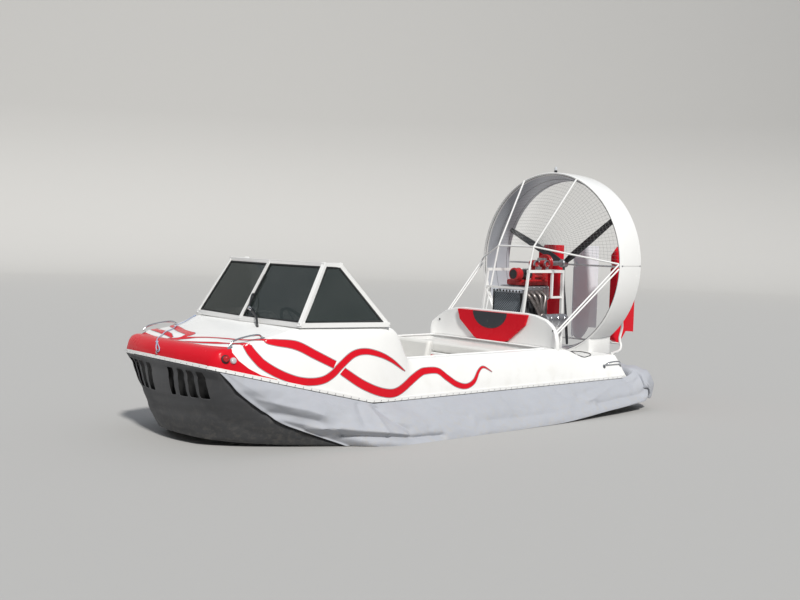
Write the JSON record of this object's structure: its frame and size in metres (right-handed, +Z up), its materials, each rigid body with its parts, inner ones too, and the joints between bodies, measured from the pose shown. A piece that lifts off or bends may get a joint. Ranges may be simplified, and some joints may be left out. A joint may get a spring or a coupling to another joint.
{
  "type": "hovercraft",
  "caption": "Light open hovercraft: moulded hull on an inflated bag skirt, framed windshield, bench seats, rear engine, ducted propeller and steering rudders.",
  "frame": {"origin": "on the ground plane under the middle of the craft's bounding box", "axes": "+Z up, -Y towards the bow, +Y towards the stern, +X to port"},
  "size_m": [2.16, 4.8899, 2.225],
  "materials": {
    "white_gelcoat": "glossy white gelcoat",
    "white_paint": "white powder coat",
    "red_gelcoat": "glossy red",
    "skirt_light": "light blue-grey coated fabric",
    "skirt_dark": "dark grey coated fabric",
    "glass": "tinted clear",
    "black": "black satin",
    "metal": "dull machined metal",
    "iron": "cast grey",
    "steel": "polished",
    "cushion": "white vinyl",
    "grey_paint": "grey gelcoat",
    "green": "green lens",
    "rope": "white and blue braided rope",
    "lamp": "clear lens"
  },
  "bodies": {
    "craft": {"deck_moulding": "white_gelcoat", "hull_pan": "white_gelcoat", "hull_runner_port": "white_gelcoat", "hull_runner_centre": "white_gelcoat", "hull_runner_starboard": "white_gelcoat", "rim_band": "white_paint", "skirt_bow": "skirt_dark", "skirt_port": "skirt_light", "skirt_starboard": "skirt_light", "skirt_stern": "skirt_light", "windshield_frame": "white_paint", "windshield_glass_port": "glass", "windshield_glass_starboard": "glass", "side_glass_port": "glass", "side_glass_starboard": "glass", "dash_panel": "white_gelcoat", "front_seat_base": "white_gelcoat", "front_seat_cushion": "cushion", "front_seat_back": "cushion", "rear_seat_base": "white_gelcoat", "rear_seat_cushion": "cushion", "rear_seat_shell": "white_gelcoat", "rear_backrest_pad": "red_gelcoat", "engine_frame": "white_paint", "engine_block": "iron", "engine_cover": "red_gelcoat", "exhaust_headers": "metal", "muffler": "metal", "air_filter": "red_gelcoat", "intake_pipe": "black", "radiator": "metal", "belt_guard": "red_gelcoat", "shaft_bearing": "metal", "intake_horns": "red_gelcoat", "guard_frame": "white_paint", "wiper_bracket": "black", "grab_rail_bow_port": "steel", "grab_rail_bow_starboard": "steel", "grab_rail_stern_port": "steel", "grab_rail_stern_starboard": "steel", "nav_light_port": "red_gelcoat", "nav_light_starboard": "green", "bow_eye": "steel", "bow_rope_hitch": "rope", "bow_rope": "rope", "bow_rope_knot": "rope", "duct": "white_gelcoat", "stern_light": "lamp", "rudder_beam_upper": "white_paint", "rudder_frame": "white_paint"},
    "propeller": {"prop_shaft": "metal", "prop_blade_1": "black", "prop_blade_2": "black", "prop_blade_3": "black"},
    "steering": {"steering_wheel": "black"},
    "wiper": {"wiper_arm": "black"},
    "rudder_starboard": {"rudder_starboard": "red_gelcoat"},
    "rudder_centre": {"rudder_centre": "grey_paint"},
    "rudder_port": {"rudder_port": "red_gelcoat"}
  },
  "joints": [
    {"name": "propeller_spin", "type": "hinge", "parent": "craft", "child": "propeller", "pos_m": [0, 1.918, 1.3], "axis": [0, 1, 0], "continuous": true},
    {"name": "steering_turn", "type": "hinge", "parent": "craft", "child": "steering", "pos_m": [0.09, -1.29, 0.8], "axis": [0, 0.8253, 0.5646], "range_deg": [-100, 100]},
    {"name": "wiper_sweep", "type": "hinge", "parent": "craft", "child": "wiper", "pos_m": [0.10221, -1.72847, 0.94844], "axis": [-0.0612, 0.8568, -0.512], "range_deg": [0, 75]},
    {"name": "rudder_starboard_turn", "type": "hinge", "parent": "craft", "child": "rudder_starboard", "pos_m": [-0.457, 2.088, 1], "axis": [0, 0, 1], "range_deg": [-30, 30]},
    {"name": "rudder_centre_turn", "type": "hinge", "parent": "craft", "child": "rudder_centre", "pos_m": [0, 2.088, 1], "axis": [0, 0, 1], "range_deg": [-30, 30]},
    {"name": "rudder_port_turn", "type": "hinge", "parent": "craft", "child": "rudder_port", "pos_m": [0.457, 2.088, 1], "axis": [0, 0, 1], "range_deg": [-30, 30]}
  ],
  "couplings": [
    {"joint": "rudder_starboard_turn", "follows": "steering_turn", "ratio": 0.3},
    {"joint": "rudder_centre_turn", "follows": "steering_turn", "ratio": 0.3},
    {"joint": "rudder_port_turn", "follows": "steering_turn", "ratio": 0.3}
  ]
}
